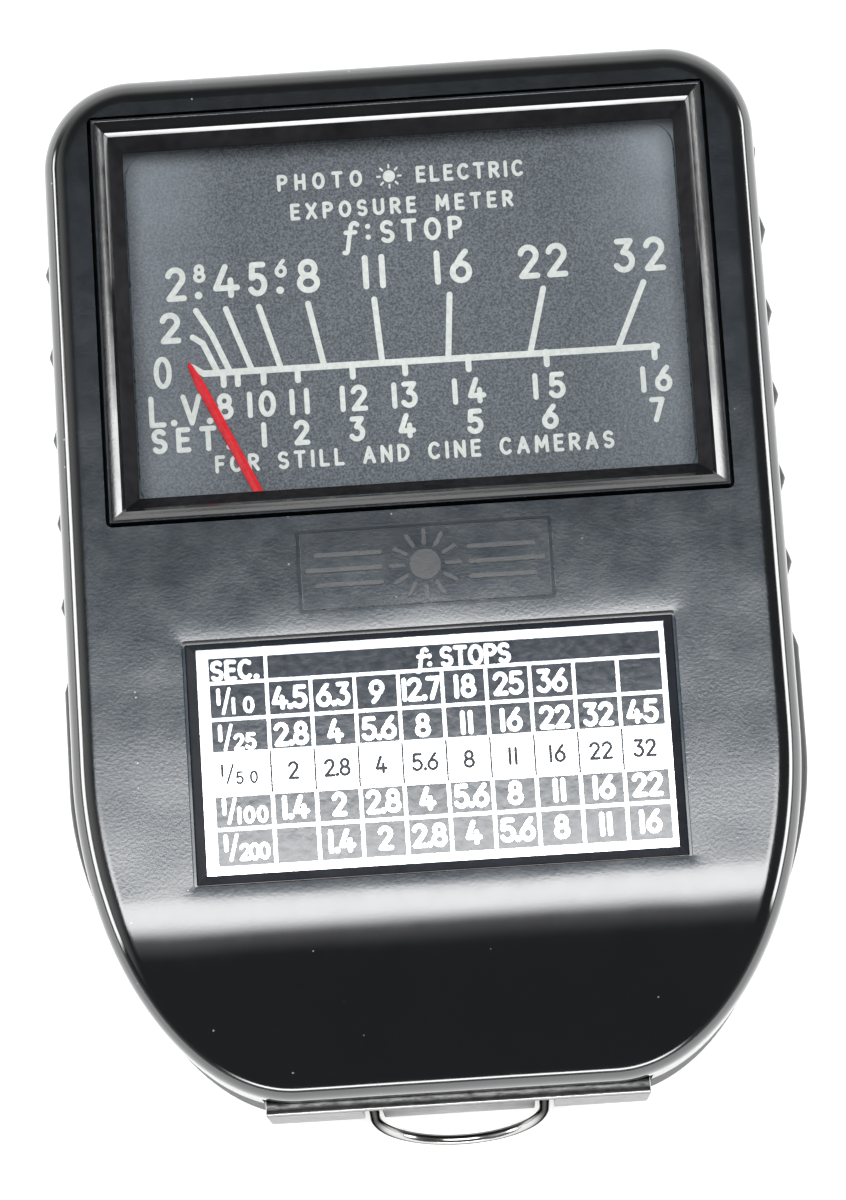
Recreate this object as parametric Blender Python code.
"""A pocket selenium light meter, lying on its back.

Frame: the origin is the middle of the flat rear face, +Z points out of the front face,
+Y towards the window end and +X to the right as a reader looks at the dial.
Sizes are written in millimetres and turned into metres where a mesh is made.
"""

import math

import bmesh
import bpy
from mathutils import Matrix, Vector

MM = 0.001

# Driving sizes of the case.
HALF_WIDTH = 27.5
TOP_Y = 39.75
BOTTOM_Y = -39.5
FACE_Z = 24.0
SEAM_Z = 11.5
SEAM_GAP = 0.1
WALL = 2.0
EDGE_R = 2.2
REAR_EDGE_R = 2.0
TOP_CORNER_R = 7.0
LOWER_CURVE_X = 12.0  # centre of the elliptical lower corners
LOWER_CURVE_Y = -14.0
BEND_Y = -24.5  # below this line the face falls away towards the bottom edge
BEND_R = 14.0
BEND_ANGLE = math.radians(25)

# Finger grips down both sides of the rear shell: scallops between pointed ridges.
GRIP_PROUD = 1.35
GRIP_TOP_Y = 34.7
GRIP_PITCH = 6.775
GRIP_COUNT = 6
GRIP_R = 7.2
GRIP_STEPS = 5
GRIP_LAND_END_Y = -14.0
GRIP_FADE_Y = -31.0

# Window, dial and printed plates.
WINDOW_Y = 20.25
WINDOW_HALF = (23.9, 16.15)
GLASS_Z = (21.0, 22.0)
SCALE_Z = (19.0, 19.5)
SCALE_SCREW = (20.3, 1.2)
PLAQUE_CENTRE = (0.1, -0.25)
PLAQUE_SIZE = (19.4, 6.5)
PLAQUE_DEPTH = 0.3
TABLE_CENTRE_Y = -14.35
TABLE_POCKET = (37.25, 18.7)
TABLE_POCKET_DEPTH = 1.05

# Moving-coil movement, turning about an axis along Z.
AXIS_Y = -19.6
POINTER_LENGTH = 40.9
POINTER_REST = math.radians(24.8)  # anticlockwise from +Y, on the zero mark
POINTER_SWEEP = math.radians(52.5)
POINTER_Z = (20.0, 20.25)
MAGNET_Z = (10.6, 17.4)
FRAME_Z = (8.4, 9.6)
CORE_R = 4.0
BORE_R = 5.6
MOVEMENT_SCREWS = ((-16.5, -8.5), (16.5, -8.5), (0.0, -33.2))
ZERO_SCREW_X = 18.5
ZERO_THROW = 0.35
ZERO_TURN = math.radians(40)  # of the zero screw, each way
LEVER_Z = (7.3, 7.8)

# Film-speed dial, its pinion and the sliding mask with its rack.
DIAL_Y = -14.0
DIAL_R = 13.0
RECESS_R = 13.3
RECESS_DEPTH = 1.9
DIAL_FLOOR_Z = 3.1
PINION_Z = (4.2, 5.2)
MODULE = 0.5
PINION_TEETH = 24
PRESSURE = math.radians(20)
BACKLASH = 0.08
MASK_TRAVEL = 18.0
MASK_Z = (3.4, 3.8)

# Photocell stack behind the ribbed window in the rear shell.
CELL_Y = 21.5
CELL_SIZE = (37.6, 24.6)
CELL_Z = (4.6, 5.8)
CELL_WINDOW = (35.2, 22.2)
CELL_POST_X = 22.3
CELL_COVER_Z = (7.4, 8.2)

# Strap clip and wire bail on the bottom edge.
CLIP_HALF = 14.6
CLIP_Z = (6.4, 15.6)
CLIP_WEB_Y = (-40.4, -39.8)
BAIL_Y = -39.2
BAIL_Z = 11.0
BAIL_HALF = 6.6
BAIL_REACH = 10.7
BAIL_WIRE_R = 0.4
BAIL_REST = math.radians(74.3)  # below the -Y direction, hanging to the table

CASE_SCREWS = ((-17.5, -31.0), (17.5, -31.0))


# ---------------------------------------------------------------- scene helpers

def clear_scene():
    for old in list(bpy.data.objects):
        bpy.data.objects.remove(old)


def collection(name):
    made = bpy.data.collections.new(name)
    bpy.context.scene.collection.children.link(made)
    return made


def material(name, colour, roughness=0.5, metallic=0.0, alpha=1.0):
    made = bpy.data.materials.new(name)
    made.use_nodes = True
    shader = made.node_tree.nodes["Principled BSDF"]
    shader.inputs["Base Color"].default_value = (*colour, 1.0)
    shader.inputs["Roughness"].default_value = roughness
    shader.inputs["Metallic"].default_value = metallic
    shader.inputs["Alpha"].default_value = alpha
    return made


def finish_mesh(name, bm, surface=None, smooth=False):
    """Turns a bmesh in millimetres into an object in metres, in the parts collection."""
    bmesh.ops.scale(bm, vec=(MM, MM, MM), verts=bm.verts)
    bmesh.ops.recalc_face_normals(bm, faces=bm.faces)
    mesh = bpy.data.meshes.new(name)
    bm.to_mesh(mesh)
    bm.free()
    made = bpy.data.objects.new(name, mesh)
    PARTS.objects.link(made)
    if surface:
        mesh.materials.append(surface)
    if smooth:
        mesh.shade_smooth()
        mesh.set_sharp_from_angle(angle=math.radians(35))
    return made


def set_origin(name, point):
    """Moves an object's origin to a point in millimetres, leaving its shape where it is."""
    made = bpy.data.objects[name]
    shift = Matrix.Translation(made.matrix_world.inverted() @ (Vector(point) * MM))
    made.data.transform(shift.inverted())
    made.matrix_world = made.matrix_world @ shift


def hide_helper(helper):
    """A cutter or a piece already joined to another isn't part of the model by itself."""
    PARTS.objects.unlink(helper)
    HELPERS.objects.link(helper)
    helper.hide_render = True
    helper.display_type = "WIRE"


def boolean(target, helper, operation):
    step = target.modifiers.new(f"{operation.lower()}_{helper.name}", "BOOLEAN")
    step.operation = operation
    step.solver = "EXACT"
    step.object = helper
    hide_helper(helper)


def cut(target, *helpers):
    for helper in helpers:
        boolean(target, helper, "DIFFERENCE")


def join(target, *helpers):
    for helper in helpers:
        boolean(target, helper, "UNION")


# ---------------------------------------------------------------- shape helpers

def box(name, x, y, z, surface=None):
    """A box from its (low, high) ranges."""
    bm = bmesh.new()
    bmesh.ops.create_cube(bm, size=1.0)
    size = [high - low for low, high in (x, y, z)]
    centre = [(high + low) / 2 for low, high in (x, y, z)]
    bmesh.ops.scale(bm, vec=size, verts=bm.verts)
    bmesh.ops.translate(bm, vec=centre, verts=bm.verts)
    return finish_mesh(name, bm, surface)


def rod(name, x, y, z, radius, surface=None, tip_radius=None, sides=24):
    """A cylinder along Z from z[0] to z[1], or a cone if the far end has its own radius."""
    bm = bmesh.new()
    far = radius if tip_radius is None else tip_radius
    bmesh.ops.create_cone(
        bm, cap_ends=True, segments=sides, radius1=radius, radius2=far, depth=z[1] - z[0]
    )
    bmesh.ops.translate(bm, vec=(x, y, (z[0] + z[1]) / 2), verts=bm.verts)
    return finish_mesh(name, bm, surface, smooth=True)


def prism(name, outline, z, surface=None):
    """A flat outline of (x, y) points, extruded from z[0] to z[1]."""
    bm = bmesh.new()
    face = bm.faces.new([bm.verts.new((px, py, z[0])) for px, py in outline])
    grown = bmesh.ops.extrude_face_region(bm, geom=[face])["geom"]
    top = [item for item in grown if isinstance(item, bmesh.types.BMVert)]
    bmesh.ops.translate(bm, vec=(0, 0, z[1] - z[0]), verts=top)
    return finish_mesh(name, bm, surface)


def arc(centre, radius, start, end, steps):
    """Points on an arc, with the angles in degrees."""
    turns = [math.radians(start + (end - start) * k / steps) for k in range(steps + 1)]
    return [(centre[0] + radius * math.cos(a), centre[1] + radius * math.sin(a)) for a in turns]


def rounded_rectangle(x, y, radius, steps=4):
    corners = (
        ((x[1] - radius, y[1] - radius), 0),
        ((x[0] + radius, y[1] - radius), 90),
        ((x[0] + radius, y[0] + radius), 180),
        ((x[1] - radius, y[0] + radius), 270),
    )
    return [p for centre, at in corners for p in arc(centre, radius, at, at + 90, steps)]


def turned(outline, centre, angle):
    """Outline points turned about the origin and moved to a centre."""
    c, s = math.cos(angle), math.sin(angle)
    return [(centre[0] + c * x - s * y, centre[1] + s * x + c * y) for x, y in outline]


def loft(name, rings, surface=None, closed=False):
    """Quads between rings of equal length. An open loft is capped by rungs between the two
    mirrored halves of its end rings; a closed one joins its last ring to its first."""
    bm = bmesh.new()
    rows = [[bm.verts.new(p) for p in ring] for ring in rings]
    count = len(rings[0])
    pairs = list(zip(rows, rows[1:]))
    if closed:
        pairs.append((rows[-1], rows[0]))
    for low, high in pairs:
        for k in range(count):
            after = (k + 1) % count
            bm.faces.new((low[k], low[after], high[after], high[k]))
    if not closed:
        for row in (rows[0], rows[-1]):
            for k in range(count // 2 - 1):
                bm.faces.new((row[k], row[k + 1], row[count - 2 - k], row[count - 1 - k]))
    return finish_mesh(name, bm, surface, smooth=True)


def pipe(name, points, radius, surface, cyclic=False, sides=2):
    """A wire along points, as a poly curve with a round bevel."""
    curve = bpy.data.curves.new(name, "CURVE")
    curve.dimensions = "3D"
    curve.bevel_depth = radius * MM
    curve.bevel_resolution = sides
    curve.use_fill_caps = not cyclic
    spline = curve.splines.new("POLY")
    spline.points.add(len(points) - 1)
    for point, place in zip(spline.points, points):
        point.co = (*(Vector(place) * MM), 1.0)
    spline.use_cyclic_u = cyclic
    curve.materials.append(surface)
    made = bpy.data.objects.new(name, curve)
    PARTS.objects.link(made)
    return made


def screw(name, x, y, head_z, shank_z, head_r, shank_r, surface):
    """A slotted screw along Z; the head's slot is on the side away from the shank."""
    made = rod(name, x, y, head_z, head_r, surface, sides=20)
    far = max(shank_z) if max(shank_z) > max(head_z) else min(shank_z)
    near = (head_z[0] + head_z[1]) / 2
    shank = rod(f"{name}_shank", x, y, (min(near, far), max(near, far)), shank_r, sides=16)
    join(made, shank)
    slot_z = head_z[0] if far > head_z[1] else head_z[1]
    slot = box(
        f"{name}_slot", (x - head_r, x + head_r), (y - 0.25, y + 0.25), (slot_z - 0.4, slot_z + 0.4)
    )
    cut(made, slot)
    return made


# ---------------------------------------------------------------- case outline

def face_z(y):
    """Height of the front face: level, then bent down over an arc to a straight slope."""
    run = BEND_Y - y
    if run <= 0:
        return FACE_Z
    arc_run = BEND_R * math.sin(BEND_ANGLE)
    if run < arc_run:
        return FACE_Z - BEND_R + math.sqrt(BEND_R**2 - run**2)
    slope = (run - arc_run) * math.tan(BEND_ANGLE)
    return FACE_Z - BEND_R * (1 - math.cos(BEND_ANGLE)) - slope


def grip_proud(y):
    """How far the rear shell's side stands out beyond the front shell's at this height."""
    bottom = GRIP_TOP_Y - GRIP_PITCH * GRIP_COUNT
    if y > GRIP_TOP_Y:
        share = min(1.0, (y - GRIP_TOP_Y) / (TOP_Y - GRIP_TOP_Y))
        return GRIP_PROUD * (1 - share**2)
    if y >= bottom:
        along = (GRIP_TOP_Y - y) % GRIP_PITCH - GRIP_PITCH / 2
        half_chord = GRIP_PITCH / 2
        depth = math.sqrt(GRIP_R**2 - along**2) - math.sqrt(GRIP_R**2 - half_chord**2)
        return GRIP_PROUD - depth
    share = (GRIP_LAND_END_Y - y) / (GRIP_LAND_END_Y - GRIP_FADE_Y)
    share = min(1.0, max(0.0, share))
    return GRIP_PROUD * (1 - share * share * (3 - 2 * share))


def grip_heights():
    """The y values of the points along the scallops."""
    return [GRIP_TOP_Y - GRIP_PITCH / GRIP_STEPS * k for k in range(GRIP_COUNT * GRIP_STEPS + 1)]


def side_reach(rise, radius):
    """How far the side stands out from the corner's centre, at a rise above that centre."""
    return math.sqrt(radius**2 - rise**2) if rise > 0 else radius


def half_outline(inset, grips=False):
    """The right half of the case outline, from the top edge down to the bottom edge."""
    corner = (HALF_WIDTH - TOP_CORNER_R, TOP_Y - TOP_CORNER_R)
    radius = TOP_CORNER_R - inset
    if grips:
        grip_turn = math.degrees(math.asin((GRIP_TOP_Y - corner[1]) / radius))
        points = arc(corner, radius, 90, grip_turn, 6)[:-1]
        points += [(corner[0] + side_reach(y - corner[1], radius), y) for y in grip_heights()]
        points.append((HALF_WIDTH - inset, LOWER_CURVE_Y / 2))
    else:
        points = arc(corner, radius, 90, 0, 8)
    across = HALF_WIDTH - LOWER_CURVE_X - inset
    down = LOWER_CURVE_Y - BOTTOM_Y - inset
    for k in range(15):
        a = math.radians(90 * k / 14)
        points.append((LOWER_CURVE_X + across * math.cos(a), LOWER_CURVE_Y - down * math.sin(a)))
    if grips:
        points = [(x + grip_proud(y), y) for x, y in points]
    return points


def ring(inset, height, grips=False):
    """The full outline at an inset, with the height of each point given by a function of y."""
    right = half_outline(inset, grips)
    left = [(-x, y) for x, y in reversed(right)]
    return [(x, y, height(y)) for x, y in right + left]


# ---------------------------------------------------------------- case

def make_front_shell():
    low = SEAM_Z + SEAM_GAP / 2
    rings = [ring(0, lambda y: low)]
    for k in range(6):
        a = math.radians(90 * k / 5)
        inset = EDGE_R * (1 - math.cos(a))
        drop = EDGE_R * (1 - math.sin(a))
        rings.append(ring(inset, lambda y, drop=drop: face_z(y) - drop))
    shell = loft("front_shell", rings, PHENOLIC)
    corner = 0.3
    cavity = loft(
        "front_cavity",
        [
            ring(WALL, lambda y: low - 2),
            ring(WALL, lambda y: face_z(y) - WALL - corner),
            ring(WALL + corner, lambda y: face_z(y) - WALL),
        ],
    )
    cut(shell, cavity)
    for x, y in MOVEMENT_SCREWS:
        join(shell, rod("movement_boss", x, y, (FRAME_Z[1] + 0.1, face_z(y) - 1), 2.2, sides=16))
    for x, y in CASE_SCREWS:
        join(shell, rod("case_boss", x, y, (7.1, face_z(y) - 1), 2.4, sides=16))
    for x in (-SCALE_SCREW[0], SCALE_SCREW[0]):
        join(shell, rod("scale_boss", x, SCALE_SCREW[1], (SCALE_Z[1] + 0.1, 22.6), 1.7, sides=16))
        cut(shell, rod("scale_thread", x, SCALE_SCREW[1], (19, 21.6), 0.85, sides=12))
    for x, y in MOVEMENT_SCREWS:
        cut(shell, rod("movement_thread", x, y, (9, 15), 1.05, sides=12))
    for x, y in CASE_SCREWS:
        cut(shell, rod("case_thread", x, y, (6, 14.5), 1.05, sides=12))
    half_x, half_y = WINDOW_HALF
    window_y = (WINDOW_Y - half_y, WINDOW_Y + half_y)
    pocket_y = (TABLE_CENTRE_Y - TABLE_POCKET[1] / 2, TABLE_CENTRE_Y + TABLE_POCKET[1] / 2)
    pocket_x = (-TABLE_POCKET[0] / 2, TABLE_POCKET[0] / 2)
    plaque = [(c - s / 2, c + s / 2) for c, s in zip(PLAQUE_CENTRE, PLAQUE_SIZE)]
    above = FACE_Z + 3
    cut(
        shell,
        box("window_cutter", (-half_x, half_x), window_y, (FACE_Z - 5, above)),
        box("table_cutter", pocket_x, pocket_y, (FACE_Z - TABLE_POCKET_DEPTH, above)),
        box("plaque_cutter", *plaque, (FACE_Z - PLAQUE_DEPTH, above)),
        clip_pocket("front_clip_cutter"),
    )


def clip_pocket(name):
    """The room for the strap clip in the bottom edge of both shells."""
    side = CLIP_HALF + 0.3
    return box(name, (-side, side), (-45, -38.6), (CLIP_Z[0] - 0.2, CLIP_Z[1] + 0.25))


def make_rear_shell():
    high = SEAM_Z - SEAM_GAP / 2
    rings = [ring(0, lambda y: high, grips=True)]
    for k in range(5):
        a = math.radians(90 * k / 4)
        level = REAR_EDGE_R * (1 - math.sin(a))
        inset = REAR_EDGE_R * (1 - math.cos(a))
        rings.append(ring(inset, lambda y, level=level: level, grips=True))
    shell = loft("rear_shell", rings, PHENOLIC)
    corner = 0.8
    cavity = loft(
        "rear_cavity",
        [
            ring(WALL, lambda y: high + 2),
            ring(WALL, lambda y: WALL + corner),
            ring(WALL + corner, lambda y: WALL),
        ],
    )
    cut(shell, cavity)
    join(shell, rod("dial_pad", 0, DIAL_Y, (1.0, DIAL_FLOOR_Z), RECESS_R + 1.3, sides=48))
    for side in (-1, 1):
        inner, outer = 19.1 * side, 20.2 * side
        rib_x = (min(inner, outer), max(inner, outer))
        join(shell, box("mask_rib", rib_x, (-12.5, 34.5), (1.2, 4.5)))
        post = rod("cell_post", CELL_POST_X * side, CELL_Y, (1.2, CELL_COVER_Z[0] - 0.1), 1.7, sides=16)
        join(shell, post)
        cut(shell, rod("cell_thread", CELL_POST_X * side, CELL_Y, (3.5, 9), 0.75, sides=12))
    for x, y in CASE_SCREWS:
        join(shell, rod("case_sleeve", x, y, (1.2, 6.8), 2.4, sides=16))
        cut(
            shell,
            rod("case_hole", x, y, (-1, 9), 1.1, sides=12),
            rod("case_counterbore", x, y, (-1, 1.6), 2.0, sides=20),
        )
    cut(
        shell,
        window_box("cell_window", CELL_WINDOW, (-1, 5)),
        clip_pocket("rear_clip_cutter"),
        rod("zero_bearing", ZERO_SCREW_X, AXIS_Y, (-1, 5), 1.06, sides=16),
        rod("zero_counterbore", ZERO_SCREW_X, AXIS_Y, (-1, 1.2), 2.0, sides=20),
        rod("dial_recess", 0, DIAL_Y, (-1, RECESS_DEPTH), RECESS_R, sides=64),
        rod("dial_bearing", 0, DIAL_Y, (0, 5), 1.56, sides=24),
    )


def window_box(name, size, z, surface=None):
    """A box in line with the photocell."""
    half_x, half_y = size[0] / 2, size[1] / 2
    return box(name, (-half_x, half_x), (CELL_Y - half_y, CELL_Y + half_y), z, surface)


def make_case_screws():
    for side, (x, y) in zip(("left", "right"), CASE_SCREWS):
        screw(f"case_screw_{side}", x, y, (0.35, 1.45), (1.45, 13.5), 1.8, 1.0, STEEL)


# ---------------------------------------------------------------- window and plates

def make_bezel():
    """A mitred frame: a shallow outer bevel, a steep inner wall, a rabbet for the glass and
    a flange behind the shell."""
    outer, reach = 23.45, WINDOW_HALF[1] - 0.3 - 23.45
    flange_z = FACE_Z - WALL - 0.35
    sections = (
        (outer, 24.15),
        (22.3, 23.75),
        (21.05, 22.35),
        (21.05, GLASS_Z[1] + 0.05),
        (22.4, GLASS_Z[1] + 0.05),
        (22.4, 20.5),
        (24.6, 20.5),
        (24.6, flange_z),
        (outer, flange_z),
    )
    rings = []
    for half_x, z in sections:
        half_y = half_x + reach
        low, high = WINDOW_Y - half_y, WINDOW_Y + half_y
        rings.append([(half_x, high, z), (half_x, low, z), (-half_x, low, z), (-half_x, high, z)])
    bezel = loft("window_bezel", rings, PHENOLIC, closed=True)
    for side in (-1, 1):
        corner = [(21.5 * side, 37.8), (26 * side, 33.3), (26 * side, 37.8)]
        cut(bezel, prism("flange_corner", corner, (20, flange_z + 0.05)))
    half_x = 22.3
    half_y = half_x + reach
    box("window_glass", (-half_x, half_x), (WINDOW_Y - half_y, WINDOW_Y + half_y), GLASS_Z, GLASS)


def make_plates():
    pocket_x, pocket_y = TABLE_POCKET
    floor = FACE_Z - TABLE_POCKET_DEPTH
    edge = 0.2
    low, high = TABLE_CENTRE_Y - pocket_y / 2 + edge, TABLE_CENTRE_Y + pocket_y / 2 - edge
    side = pocket_x / 2 - edge
    box("table_plate", (-side, side), (low, high), (floor + 0.05, floor + 0.6), ALUMINIUM)
    scale = prism("scale_plate", rounded_rectangle((-22.8, 22.8), (-1.0, 36.4), 3.0), SCALE_Z, ENAMEL)
    x, y = SCALE_SCREW
    for side, px in (("left", -x), ("right", x)):
        cut(scale, rod(f"scale_hole_{side}", px, y, (18, 20.5), 0.9, sides=12))
        screw(f"scale_screw_{side}", px, y, (17.9, 18.9), (18.9, 21.3), 1.5, 0.8, STEEL)


def pointer_place(radius, angle):
    """A point at a radius from the movement's axis, at an angle anticlockwise from +Y."""
    return -radius * math.sin(angle), AXIS_Y + radius * math.cos(angle)


def make_pointer_stops():
    margin = math.radians(1.5)
    radius = 21.6
    clear = math.asin((0.5 + 0.4) / radius)
    zero = pointer_place(radius, POINTER_REST + margin + clear)
    full = pointer_place(radius, POINTER_REST - POINTER_SWEEP - margin - clear)
    for name, (x, y) in (("pointer_stop_zero", zero), ("pointer_stop_full", full)):
        rod(name, x, y, (SCALE_Z[1] + 0.05, 20.45), 0.4, STEEL, sides=10)


# ---------------------------------------------------------------- moving-coil movement

def make_pointer():
    """The red blade with its hub, on the front staff."""
    half = 0.5
    blade = [(-half, 0.8), (half, 0.8), (half, POINTER_LENGTH - 4), (0.08, POINTER_LENGTH)]
    blade += [(-0.08, POINTER_LENGTH), (-half, POINTER_LENGTH - 4)]
    centre = (0, AXIS_Y)
    pointer = prism("pointer", turned(blade, centre, POINTER_REST), POINTER_Z, RED)
    join(pointer, rod("pointer_hub", 0, AXIS_Y, (19.65, 20.4), 1.6, sides=20))
    cut(pointer, rod("pointer_bore", 0, AXIS_Y, (19, 21), 0.55, sides=16))


def make_balance():
    """Tail and side arms that balance the pointer, each with its small weight."""
    z = (19.1, 19.5)
    outline = [(-0.35, -6.2), (0.35, -6.2), (0.35, -0.35), (3.6, -0.35), (3.6, 0.35), (-3.6, 0.35)]
    outline += [(-3.6, -0.35), (-0.35, -0.35)]
    arms = prism("balance_arms", turned(outline, (0, AXIS_Y), POINTER_REST), z, BRASS)
    join(arms, rod("balance_hub", 0, AXIS_Y, (19.05, 19.55), 1.2, sides=16))
    spots = [((-0.8, 0.8), (-5.8, -4.2)), ((2.2, 3.3), (-0.7, 0.7)), ((-3.3, -2.2), (-0.7, 0.7))]
    for x, y in spots:
        corners = [(x[0], y[0]), (x[1], y[0]), (x[1], y[1]), (x[0], y[1])]
        join(arms, prism("balance_weight", turned(corners, (0, AXIS_Y), POINTER_REST), (18.85, 19.6)))
    cut(arms, rod("balance_bore", 0, AXIS_Y, (18, 21), 0.55, sides=16))


def make_coil():
    """The wound frame that turns round the core, set so that mid-scale faces the poles."""
    turn = POINTER_SWEEP / 2
    z = (9.6, 18.4)
    half_x, half_y, bar = 5.25, 0.6, 0.9
    outer = [(-half_x, -half_y), (half_x, -half_y), (half_x, half_y), (-half_x, half_y)]
    coil = prism("moving_coil", turned(outer, (0, AXIS_Y), turn), z, COPPER)
    inner = half_x - bar
    hole = [(-inner, -2), (inner, -2), (inner, 2), (-inner, 2)]
    cut(coil, prism("coil_hole", turned(hole, (0, AXIS_Y), turn), (z[0] + 0.8, z[1] - 0.8)))
    front = rod("coil_staff_front", 0, AXIS_Y, (18.45, 20.45), 0.5, STEEL, sides=16)
    join(front, rod("front_tip", 0, AXIS_Y, (20.4, 21.0), 0.45, tip_radius=0.06, sides=16))
    rear = rod("coil_staff_rear", 0, AXIS_Y, (8.0, 9.55), 0.5, STEEL, sides=16)
    tip = rod("rear_tip", 0, AXIS_Y, (7.7, 8.1), 0.06, tip_radius=0.4, sides=16)
    join(rear, tip)


def make_core_and_poles():
    core = rod("iron_core", 0, AXIS_Y, (10.7, 17.3), CORE_R, IRON, sides=32)
    bar_x, bar_z = (-1.1, 1.1), (13.0, 14.6)
    slot_x = (bar_x[0] - 0.06, bar_x[1] + 0.06)
    cut(core, box("core_slot", slot_x, (AXIS_Y - 6, AXIS_Y + 6), (bar_z[0] - 0.06, bar_z[1] + 0.06)))
    box("core_bar", bar_x, (AXIS_Y - 10, AXIS_Y + 10), bar_z, BRASS)
    for side, sign in (("left", -1), ("right", 1)):
        x = sorted((2.4 * sign, 9.0 * sign))
        pole = box(f"pole_piece_{side}", x, (AXIS_Y - 6.5, AXIS_Y + 6.5), MAGNET_Z, IRON)
        cut(pole, rod(f"pole_bore_{side}", 0, AXIS_Y, (9, 19), BORE_R, sides=48))


def make_magnet():
    """A horseshoe round the poles, with its bend under the dial."""
    centre = (0, -6.0)
    foot = -28.0
    outer = arc(centre, 13.0, 0, 180, 20)
    inner = arc(centre, 9.2, 180, 0, 20)
    outline = [(13.0, foot)] + outer + [(-13.0, foot), (-9.2, foot)] + inner + [(9.2, foot)]
    prism("magnet", outline, MAGNET_Z, MAGNET)


def make_movement_frame():
    """The T-shaped plate that carries the poles, the bridges and the core bar."""
    outline = [(19, -25.8), (19, -6.2), (-19, -6.2), (-19, -25.8), (-8, -25.8), (-8, -35.8), (8, -35.8)]
    outline.append((8, -25.8))
    frame = prism("movement_frame", outline, FRAME_Z, BRASS)
    for offset in (-9.1, 9.1):
        y = AXIS_Y + offset
        join(frame, box("core_post", (-1.6, 1.6), (y - 0.8, y + 0.8), (9.0, 12.9)))
    cut(frame, rod("coil_opening", 0, AXIS_Y, (8, 11), 6.5, sides=32))
    for side, (x, y) in zip(("left", "right", "bottom"), MOVEMENT_SCREWS):
        cut(frame, rod(f"frame_hole_{side}", x, y, (8, 10), 1.1, sides=12))
        screw(f"movement_screw_{side}", x, y, (7.2, 8.3), (8.3, 14.0), 1.8, 1.0, STEEL)


def make_bridges():
    """The front and rear bridges with their jewelled bearing screws."""
    y = (AXIS_Y - 1.7, AXIS_Y + 1.7)
    front = box("front_bridge", (-8.8, 8.8), y, (20.75, 21.45), BRASS)
    for x in (-7.5, 7.5):
        join(front, rod("front_post", x, AXIS_Y, (MAGNET_Z[1] + 0.1, 21.0), 1.1, sides=12))
    cut(front, rod("front_bearing", 0, AXIS_Y, (20, 22), 1.26, sides=20))
    jewel = rod("jewel_screw_front", 0, AXIS_Y, (20.5, 21.85), 1.2, STEEL, sides=20)
    cut(jewel, rod("front_cup", 0, AXIS_Y, (20.3, 21.25), 0.75, tip_radius=0.08, sides=16))
    rear = box("rear_bridge", (-1.7, 1.7), (AXIS_Y - 10.4, AXIS_Y + 10.4), (5.95, 6.9), BRASS)
    for offset in (-9.0, 9.0):
        join(rear, rod("rear_foot", 0, AXIS_Y + offset, (6.4, FRAME_Z[0] - 0.1), 1.5, sides=12))
    cut(rear, rod("rear_bearing", 0, AXIS_Y, (5, 8), 1.56, sides=20))
    jewel = rod("jewel_screw_rear", 0, AXIS_Y, (5.75, 8.0), 1.5, STEEL, sides=20)
    cut(jewel, rod("rear_cup", 0, AXIS_Y, (7.4, 8.2), 0.08, tip_radius=0.75, sides=16))


def make_hairspring(name, z, start):
    """A flat spiral between its collet, close to the staff, and its stud."""
    turns, per_turn = 3.25, 14
    count = round(turns * per_turn)
    points = []
    for k in range(count + 1):
        radius = 1.0 + 3.1 * k / count
        angle = start + 2 * math.pi * turns * k / count
        points.append((radius * math.cos(angle), AXIS_Y + radius * math.sin(angle), z))
    pipe(name, points, 0.12, BRONZE, sides=0)


def make_zero_adjuster():
    """The lever that sets the rear hairspring's stud, and the screw whose pin works in its fork.

    The fork has room for the pin's whole swing, so the screw turns with the lever at rest.
    """
    tail = 5.2
    fork_x = ZERO_SCREW_X + 1.4
    outline = [(-tail, -0.7), (fork_x, -1.4), (fork_x, 1.4), (-tail, 0.7)]
    lever = prism("zero_lever", turned(outline, (0, AXIS_Y), 0), LEVER_Z, BRASS)
    join(lever, rod("lever_eye", 0, AXIS_Y, LEVER_Z, 2.6, sides=24))
    join(lever, box("spring_stud", (-tail, -4.5), (AXIS_Y - 0.5, AXIS_Y + 0.5), (7.5, 9.0)))
    cut(lever, rod("lever_bore", 0, AXIS_Y, (7, 8), 1.56, sides=24))
    pin_r = 0.4
    slot_half = pin_r + ZERO_THROW * math.sin(ZERO_TURN) + 0.1
    pin_x = ZERO_SCREW_X + ZERO_THROW
    slot = ((pin_x - 1.0, ZERO_SCREW_X + 3), (AXIS_Y - slot_half, AXIS_Y + slot_half), (7, 8))
    cut(lever, box("lever_slot", *slot))
    zero = screw("zero_screw", ZERO_SCREW_X, AXIS_Y, (0.3, 1.1), (1.1, 5.6), 1.9, 1.0, BRASS)
    join(zero, rod("zero_pin", pin_x, AXIS_Y, (5.3, 8.1), pin_r, sides=12))


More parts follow.
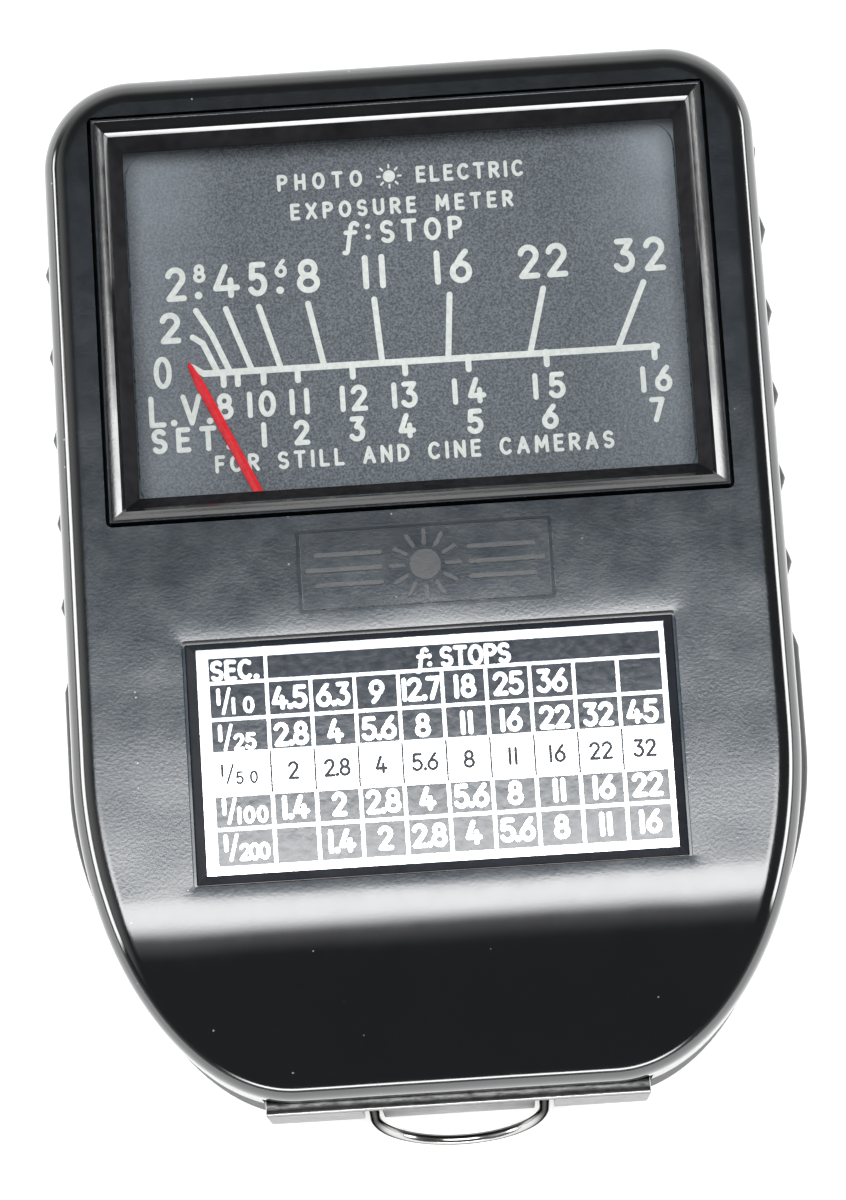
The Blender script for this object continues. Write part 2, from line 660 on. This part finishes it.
def make_spool_and_leads():
    """The calibrating resistor on the movement frame, and the two leads from the cell."""
    x, z = -16.8, 12.8
    y = (-25.2, -13.2)
    spool = rod("calibration_spool", 0, 0, (-6, 6), 2.0, COPPER, sides=20)
    for low, high in ((-6.0, -5.2), (5.2, 6.0)):
        join(spool, rod("spool_flange", 0, 0, (low, high), 2.6, sides=20))
    spool.rotation_euler = (math.pi / 2, 0, 0)
    spool.location = Vector((x, sum(y) / 2, z)) * MM
    for helper in HELPERS.objects:
        if helper.name.startswith("spool_flange"):
            helper.rotation_euler = spool.rotation_euler
            helper.location = spool.location
    rear = [(-21.3, 9.5, 9.2), (-21.3, -2, 9.2), (-20.9, -7, 11), (-19.6, -10.5, 12.6)]
    pipe("lead_wire_rear", rear + [(-17.2, -12.5, 12.8)], 0.4, RED_SLEEVE, sides=1)
    front = [(21.3, 9.5, 9.2), (21.3, -4, 9.6), (20.4, -13, 14.5), (17.5, -18, 17.6)]
    pipe("lead_wire_front", front + [(14, -19.3, 18.6), (9.4, AXIS_Y, 18.9)], 0.4, SLEEVE, sides=1)


# ---------------------------------------------------------------- photocell and film-speed mask

def make_cell():
    """From the back: ribbed lens, contact frame, cell, spring and insulating cover."""
    half_x, half_y = CELL_WINDOW[0] / 2 - 0.15, CELL_WINDOW[1] / 2 - 0.15
    ribs, crest, valley = 12, 0.45, 0.95
    step = 2 * half_x / (2 * ribs)
    outline = [(half_x, 2.6), (-half_x, 2.6)]
    for k in range(2 * ribs + 1):
        outline.append((-half_x + step * k, valley if k % 2 == 0 else crest))
    lens = prism("cell_lens", outline, (-half_y, half_y), GLASS)
    lens.rotation_euler = (math.pi / 2, 0, 0)
    lens.location = (0, CELL_Y * MM, 0)
    flange = (CELL_WINDOW[0] + 1.9, CELL_WINDOW[1] + 1.9)
    join(lens, window_box("lens_flange", flange, (2.1, 3.0)))
    contact = window_box("cell_contact", CELL_SIZE, (4.0, 4.45), BRONZE)
    cut(contact, window_box("contact_opening", (33.6, 20.6), (3, 5)))
    window_box("photocell", CELL_SIZE, CELL_Z, SELENIUM)
    span, rise, sheet = 13.0, 1.05, 0.2
    low = [(x, 5.95 + rise * (1 - (x / span) ** 2)) for x in (span * (k / 5 - 1) for k in range(11))]
    high = [(x, z + sheet) for x, z in reversed(low)]
    spring = prism("cell_spring", low + high, (-3.0, 3.0), BRONZE)
    spring.rotation_euler = (math.pi / 2, 0, 0)
    spring.location = (0, CELL_Y * MM, 0)
    body, ear = CELL_SIZE[0] / 2 + 1.2, CELL_POST_X + 1.8
    top, wing = CELL_SIZE[1] / 2, 2.4
    outline = [(body, -top), (body, -wing), (ear, -wing), (ear, wing), (body, wing), (body, top)]
    outline += [(-x, -y) for x, y in outline]
    cover = prism("cell_cover", [(x, CELL_Y + y) for x, y in outline], CELL_COVER_Z, FIBRE)
    for side, x in (("left", -CELL_POST_X), ("right", CELL_POST_X)):
        cut(cover, rod(f"cover_hole_{side}", x, CELL_Y, (7, 9), 0.85, sides=12))
        screw(f"cell_screw_{side}", x, CELL_Y, (8.3, 9.1), (8.3, 4.2), 1.5, 0.7, STEEL)


def involute_tooth():
    """One tooth of the pinion, pointing along +X, from root to tip and back to the root."""
    pitch_r = MODULE * PINION_TEETH / 2
    base_r = pitch_r * math.cos(PRESSURE)
    root_r, tip_r = pitch_r - 1.2 * MODULE, pitch_r + MODULE * 0.95
    involute = math.tan(PRESSURE) - PRESSURE
    half = math.pi / (2 * PINION_TEETH) + involute - BACKLASH / 2 / pitch_r
    flank = [(root_r, half)]
    for k in range(4):
        radius = base_r + (tip_r - base_r) * k / 3
        roll = math.acos(min(1.0, base_r / radius))
        flank.append((radius, half - (math.tan(roll) - roll)))
    below = [(r * math.cos(a), -r * math.sin(a)) for r, a in flank]
    above = [(r * math.cos(a), r * math.sin(a)) for r, a in reversed(flank)]
    return below + above


def make_pinion():
    outline = []
    for k in range(PINION_TEETH):
        outline += turned(involute_tooth(), (0, 0), 2 * math.pi * k / PINION_TEETH)
    pinion = prism("index_pinion", [(x, y + DIAL_Y) for x, y in outline], PINION_Z, BRASS)
    cut(pinion, rod("pinion_bore", 0, DIAL_Y, (4, 6), 1.56, sides=24))


def make_dial():
    """The film-speed disc, sunk in the back so that the meter rests flat, and its spindle."""
    dial = rod("index_dial", 0, DIAL_Y, (0.35, 1.6), DIAL_R, PHENOLIC, sides=64)
    join(dial, rod("dial_spindle", 0, DIAL_Y, (1.2, 5.25), 1.5, sides=24))
    join(dial, rod("spindle_neck", 0, DIAL_Y, (5.0, 5.7), 1.1, sides=24))
    join(dial, rod("spindle_head", 0, DIAL_Y, (5.58, 5.78), 1.5, sides=24))
    for side in (0, 180):
        hollow = arc((0, DIAL_Y), 8.0, side + 12, side + 168, 12)
        cut(dial, prism(f"finger_hollow_{side}", hollow, (-1, 1.05)))
    clip = arc((0, DIAL_Y), 2.5, 30, 330, 16) + arc((0, DIAL_Y), 1.2, 330, 30, 16)
    prism("index_clip", clip, (5.28, 5.54), STEEL)


def make_mask():
    """The sliding mask that narrows the light reaching the cell, with its rack."""
    half = 18.8
    low, high = -12.0, 10.0
    edge = [(half, high), (6.0, high), (0.0, high - 6.0), (-6.0, high), (-half, high)]
    mask = prism("speed_mask", [(-half, low), (half, low)] + edge, MASK_Z, BLACK_METAL)
    pitch_x = MODULE * PINION_TEETH / 2 + 0.04
    pitch = math.pi * MODULE
    tip, root = pitch_x - 0.9 * MODULE, pitch_x + 1.15 * MODULE
    lean = math.tan(PRESSURE)
    half_tooth = (pitch - BACKLASH) / 4
    outline = [(root + 2.4, -35.0), (root + 2.4, -9.6), (root, -9.6)]
    for k in range(2, -13, -1):
        centre = DIAL_Y + pitch * (k - 0.5)
        if not -34.6 < centre < -10.6:
            continue
        wide = half_tooth + (root - pitch_x) * lean
        narrow = half_tooth - (pitch_x - tip) * lean
        outline += [(root, centre + wide), (tip, centre + narrow)]
        outline += [(tip, centre - narrow), (root, centre - wide)]
    outline.append((root, -35.0))
    rack = prism("mask_rack", outline, PINION_Z)
    foot = box("rack_foot", (root + 0.5, root + 2.4), (-35.0, -9.6), (MASK_Z[0], PINION_Z[1] - 0.1))
    join(mask, foot)
    join(mask, rack)


# ---------------------------------------------------------------- strap clip and bail

def make_clip():
    """A nickelled channel hooked into the bottom edge, slotted for the bail's legs."""
    x = (-CLIP_HALF, CLIP_HALF)
    clip = box("strap_clip", x, CLIP_WEB_Y, CLIP_Z, NICKEL)
    sheet = 0.6
    hook = (CLIP_WEB_Y[0] + 0.1, -38.8)
    join(clip, box("front_hook", x, hook, (CLIP_Z[1] - sheet, CLIP_Z[1])))
    join(clip, box("rear_hook", x, hook, (CLIP_Z[0], CLIP_Z[0] + sheet)))
    for side in (-BAIL_HALF, BAIL_HALF):
        cut(clip, box("bail_slot", (side - 0.75, side + 0.75), (-42, -38), (5, CLIP_Z[1] - 0.7)))


def make_bail():
    """A D-shaped wire whose straight side turns behind the clip's middle tab."""
    corner = 1.0
    shoulder = BAIL_REACH - BAIL_HALF
    flat = arc((BAIL_HALF - corner, corner), corner, 270, 360, 4)
    flat += arc((0, shoulder), BAIL_HALF, 0, 180, 18)
    flat += arc((corner - BAIL_HALF, corner), corner, 180, 270, 4)
    down = Vector((0, -math.cos(BAIL_REST), -math.sin(BAIL_REST)))
    axis = Vector((0, BAIL_Y, BAIL_Z))
    points = [axis + Vector((x, 0, 0)) + down * reach for x, reach in flat]
    pipe("strap_bail", points, BAIL_WIRE_R, NICKEL, cyclic=True, sides=2)


# ---------------------------------------------------------------- build

clear_scene()
PARTS = collection("light_meter")
HELPERS = collection("cutters")
HELPERS.hide_render = True

PHENOLIC = material("black_phenolic", (0.012, 0.013, 0.015), roughness=0.22)
GLASS = material("clear_glass", (0.9, 0.93, 0.95), roughness=0.03, alpha=0.25)
ENAMEL = material("dial_enamel", (0.05, 0.055, 0.06), roughness=0.45)
ALUMINIUM = material("etched_aluminium", (0.8, 0.81, 0.82), roughness=0.25, metallic=1.0)
RED = material("red_paint", (0.75, 0.02, 0.03), roughness=0.4)
BRASS = material("brass", (0.72, 0.53, 0.25), roughness=0.3, metallic=1.0)
BRONZE = material("spring_bronze", (0.7, 0.42, 0.2), roughness=0.35, metallic=1.0)
STEEL = material("steel", (0.6, 0.6, 0.62), roughness=0.3, metallic=1.0)
IRON = material("soft_iron", (0.35, 0.35, 0.36), roughness=0.5, metallic=1.0)
MAGNET = material("magnet_alloy", (0.28, 0.28, 0.3), roughness=0.6, metallic=1.0)
COPPER = material("copper_winding", (0.6, 0.25, 0.1), roughness=0.4, metallic=1.0)
NICKEL = material("nickel_plate", (0.82, 0.82, 0.8), roughness=0.15, metallic=1.0)
SELENIUM = material("selenium", (0.1, 0.09, 0.11), roughness=0.35, metallic=0.6)
FIBRE = material("fibre_board", (0.25, 0.12, 0.06), roughness=0.7)
BLACK_METAL = material("black_sheet_metal", (0.02, 0.02, 0.02), roughness=0.5, metallic=0.4)
RED_SLEEVE = material("red_sleeve", (0.45, 0.03, 0.03), roughness=0.5)
SLEEVE = material("black_sleeve", (0.03, 0.03, 0.03), roughness=0.5)

make_front_shell()
make_rear_shell()
make_case_screws()
make_bezel()
make_plates()
make_pointer_stops()
make_pointer()
make_balance()
make_coil()
make_core_and_poles()
make_magnet()
make_movement_frame()
make_bridges()
make_hairspring("hairspring_front", 18.7, 0.0)
make_hairspring("hairspring_rear", 8.75, math.radians(90))
make_zero_adjuster()
make_spool_and_leads()
make_cell()
make_pinion()
make_dial()
make_mask()
make_clip()
make_bail()

for moving in ("pointer", "balance_arms", "moving_coil", "coil_staff_front", "coil_staff_rear"):
    set_origin(moving, (0, AXIS_Y, 0))
set_origin("zero_lever", (0, AXIS_Y, 0))
set_origin("zero_screw", (ZERO_SCREW_X, AXIS_Y, 0))
for moving in ("index_dial", "index_pinion", "index_clip"):
    set_origin(moving, (0, DIAL_Y, 0))
set_origin("strap_bail", (0, BAIL_Y, BAIL_Z))
